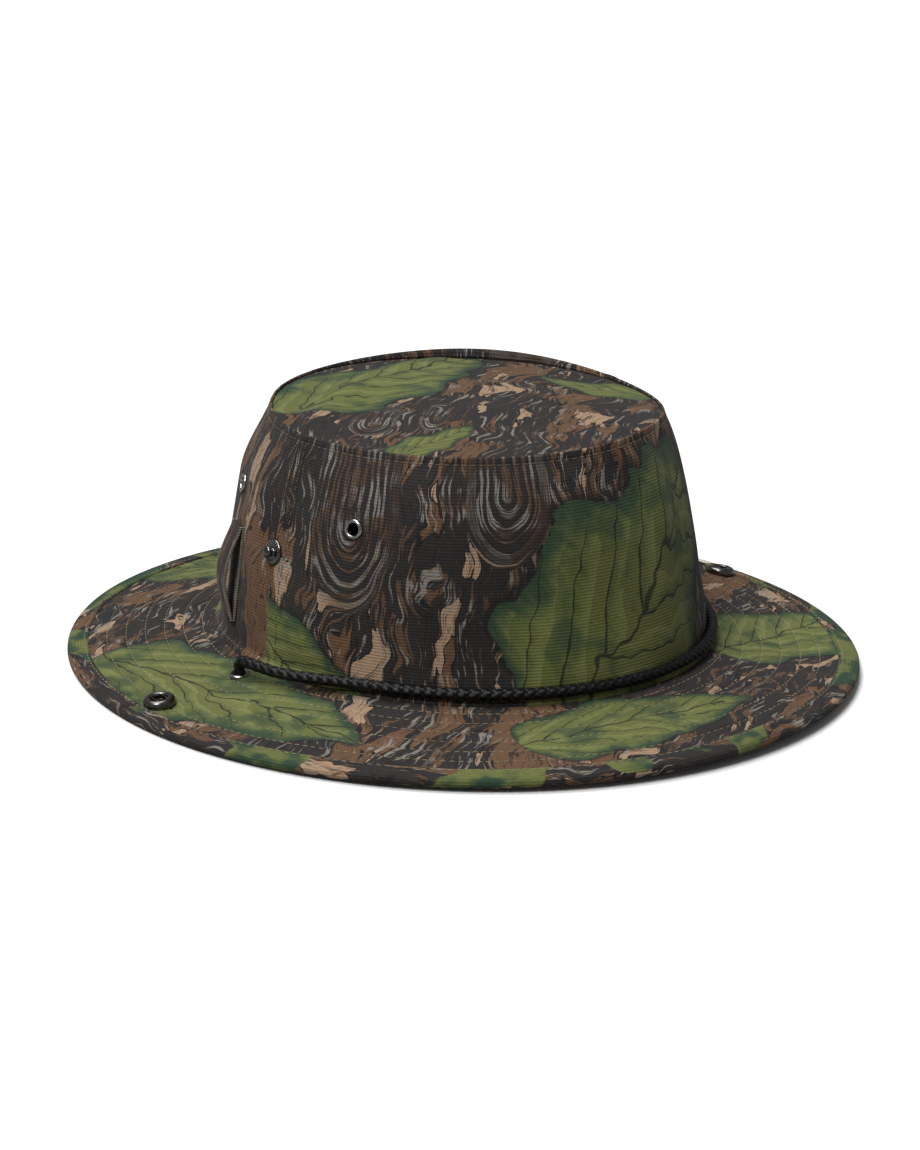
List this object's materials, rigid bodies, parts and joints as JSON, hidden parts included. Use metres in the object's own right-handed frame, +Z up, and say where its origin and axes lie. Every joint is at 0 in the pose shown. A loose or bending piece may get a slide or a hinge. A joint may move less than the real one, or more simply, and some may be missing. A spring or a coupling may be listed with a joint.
{
  "type": "boonie hat",
  "caption": "Wide-brimmed soft sun hat with flat-topped crown, quilted snap-up brim, vent eyelets, braided chin cord and slider.",
  "frame": {"origin": "centre of the hat on the surface that its brim edge rests on", "axes": "+Z up through the crown, -Y to the front of the hat, -X to the wearer's right"},
  "size_m": [0.3, 0.31, 0.0959],
  "materials": {
    "printed_cloth": "matte printed cotton twill in leaf and bark colours",
    "binding_tape": "matte printed cotton, folded edge binding",
    "interlining": "stiff undyed buckram",
    "seam_tape": "matte cotton tape",
    "sweatband_cloth": "matte cotton twill band",
    "black_cord": "braided synthetic cord with a slight sheen",
    "dark_nickel": "polished gunmetal plating",
    "slider_plastic": "satin moulded plastic"
  },
  "bodies": {
    "hat": {"brim_binding_back": "binding_tape", "brim_binding_front": "binding_tape", "brim_bottom_ply": "printed_cloth", "brim_interlining": "interlining", "brim_top_ply": "printed_cloth", "chin_cord_front": "black_cord", "chin_cord_knot": "black_cord", "chin_cord_left_lead": "black_cord", "chin_cord_left_leg": "black_cord", "chin_cord_right_lead": "black_cord", "chin_cord_right_leg": "black_cord", "crown_back_panel": "printed_cloth", "crown_front_panel": "printed_cloth", "crown_tip": "printed_cloth", "keeper_loop": "printed_cloth", "left_back_vent_eyelet": "dark_nickel", "left_back_vent_eyelet_washer": "dark_nickel", "left_crown_stud": "dark_nickel", "left_front_vent_eyelet": "dark_nickel", "left_front_vent_eyelet_washer": "dark_nickel", "left_side_seam_tape": "seam_tape", "left_stud_post": "dark_nickel", "right_back_vent_eyelet": "dark_nickel", "right_back_vent_eyelet_washer": "dark_nickel", "right_crown_stud": "dark_nickel", "right_front_vent_eyelet": "dark_nickel", "right_front_vent_eyelet_washer": "dark_nickel", "right_side_seam_tape": "seam_tape", "right_stud_post": "dark_nickel", "sweatband": "sweatband_cloth", "tip_seam_tape": "seam_tape"},
    "right_brim": {"brim_binding_right": "binding_tape", "brim_bottom_ply_right": "printed_cloth", "brim_interlining_right": "interlining", "brim_top_ply_right": "printed_cloth", "right_brim_socket": "dark_nickel", "right_cord_eyelet": "dark_nickel", "right_cord_eyelet_washer": "dark_nickel", "right_socket_cap": "dark_nickel"},
    "left_brim": {"brim_binding_left": "binding_tape", "brim_bottom_ply_left": "printed_cloth", "brim_interlining_left": "interlining", "brim_top_ply_left": "printed_cloth", "left_brim_socket": "dark_nickel", "left_cord_eyelet": "dark_nickel", "left_cord_eyelet_washer": "dark_nickel", "left_socket_cap": "dark_nickel"},
    "slider": {"chin_slider": "slider_plastic"}
  },
  "joints": [
    {"name": "right_brim_fold", "type": "hinge", "parent": "hat", "child": "right_brim", "pos_m": [-0.09223, 0, 0.0103], "axis": [0, 1, 0], "range_deg": [0, 97.9], "stiffness_Nm_per_rad": 0.08, "deforming": ["chin_cord_right_lead", "chin_cord_right_leg"]},
    {"name": "left_brim_fold", "type": "hinge", "parent": "hat", "child": "left_brim", "pos_m": [0.09223, 0, 0.0103], "axis": [0, -1, 0], "range_deg": [0, 97.9], "stiffness_Nm_per_rad": 0.08, "deforming": ["chin_cord_left_lead", "chin_cord_left_leg"]},
    {"name": "slider_travel", "type": "slide", "parent": "hat", "child": "slider", "axis": [0, 1, 0], "range_m": [-0.015, 0.045]}
  ]
}
